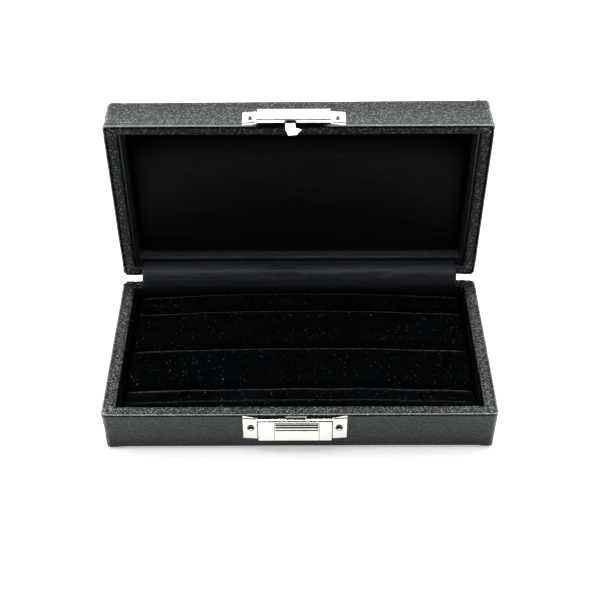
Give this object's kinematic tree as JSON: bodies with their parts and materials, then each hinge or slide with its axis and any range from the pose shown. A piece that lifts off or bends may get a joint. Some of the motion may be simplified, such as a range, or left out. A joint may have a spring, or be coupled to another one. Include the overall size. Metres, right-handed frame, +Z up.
{
  "type": "jewelry box",
  "caption": "Hinged jewelry box in black leatherette: satin-lined lid on a cloth hinge, slotted velvet ring pad in the base, nickel snap lock with thumb slide and hook.",
  "frame": {"origin": "centre of the base's flat underside, on the surface that the box stands on", "axes": "+X along the box's width, to the right as seen from the front; -Y out of the front with the lock; +Z up, with the lid open at a right angle"},
  "size_m": [0.165, 0.1072, 0.1097],
  "materials": {
    "leatherette": "black grained leatherette, half matt",
    "board": "raw board",
    "velvet": "black short-pile velvet",
    "satin": "black satin with a soft sheen",
    "card": "grey card",
    "foam": "soft foam",
    "nickel": "bright nickel plate",
    "spring_steel": "plain steel"
  },
  "bodies": {
    "base": {"base_floor_board": "board", "base_front_wall": "board", "base_back_wall": "board", "base_left_wall": "board", "base_right_wall": "board", "base_cover": "leatherette", "base_bottom_sheet": "leatherette", "base_liner_left": "velvet", "base_liner_right": "velvet", "base_liner_front": "velvet", "ring_pad_card": "card", "ring_pad_foam": "foam", "ring_pad_velvet": "velvet", "lock_plate": "nickel", "lock_back_plate": "spring_steel", "slide_spring": "spring_steel", "lock_screw_left": "nickel", "lock_screw_right": "nickel", "hinge_spine": "leatherette", "hinge_gusset": "satin"},
    "lid": {"lid_top_board": "board", "lid_front_wall": "board", "lid_back_wall": "board", "lid_left_wall": "board", "lid_right_wall": "board", "lid_cover": "leatherette", "lid_top_sheet": "leatherette", "lid_liner_left": "satin", "lid_liner_right": "satin", "lid_liner_front": "satin", "lid_liner_back": "satin", "lid_ceiling_card": "card", "lid_ceiling_foam": "foam", "lid_ceiling_satin": "satin", "catch_plate": "nickel", "catch_hook": "nickel", "catch_pin_left": "nickel", "catch_pin_right": "nickel"},
    "thumb_slide": {"thumb_slide": "nickel"},
    "latch_bolt": {"latch_bolt": "nickel"}
  },
  "joints": [
    {"name": "lid_hinge", "type": "hinge", "parent": "base", "child": "lid", "pos_m": [0, 0.0437, 0.02175], "axis": [1, 0, 0], "range_deg": [0, 90], "deforming": ["hinge_spine", "hinge_gusset"]},
    {"name": "thumb_slide_travel", "type": "slide", "parent": "base", "child": "thumb_slide", "axis": [0, 0, -1], "range_m": [0, 0.002], "stiffness_N_per_m": 150, "springref_m": -0.003, "deforming": ["slide_spring"]},
    {"name": "latch_bolt_travel", "type": "slide", "parent": "base", "child": "latch_bolt", "axis": [1, 0, 0], "range_m": [0, 0.0018]}
  ],
  "couplings": [
    {"joint": "latch_bolt_travel", "follows": "thumb_slide_travel", "ratio": 0.9}
  ]
}
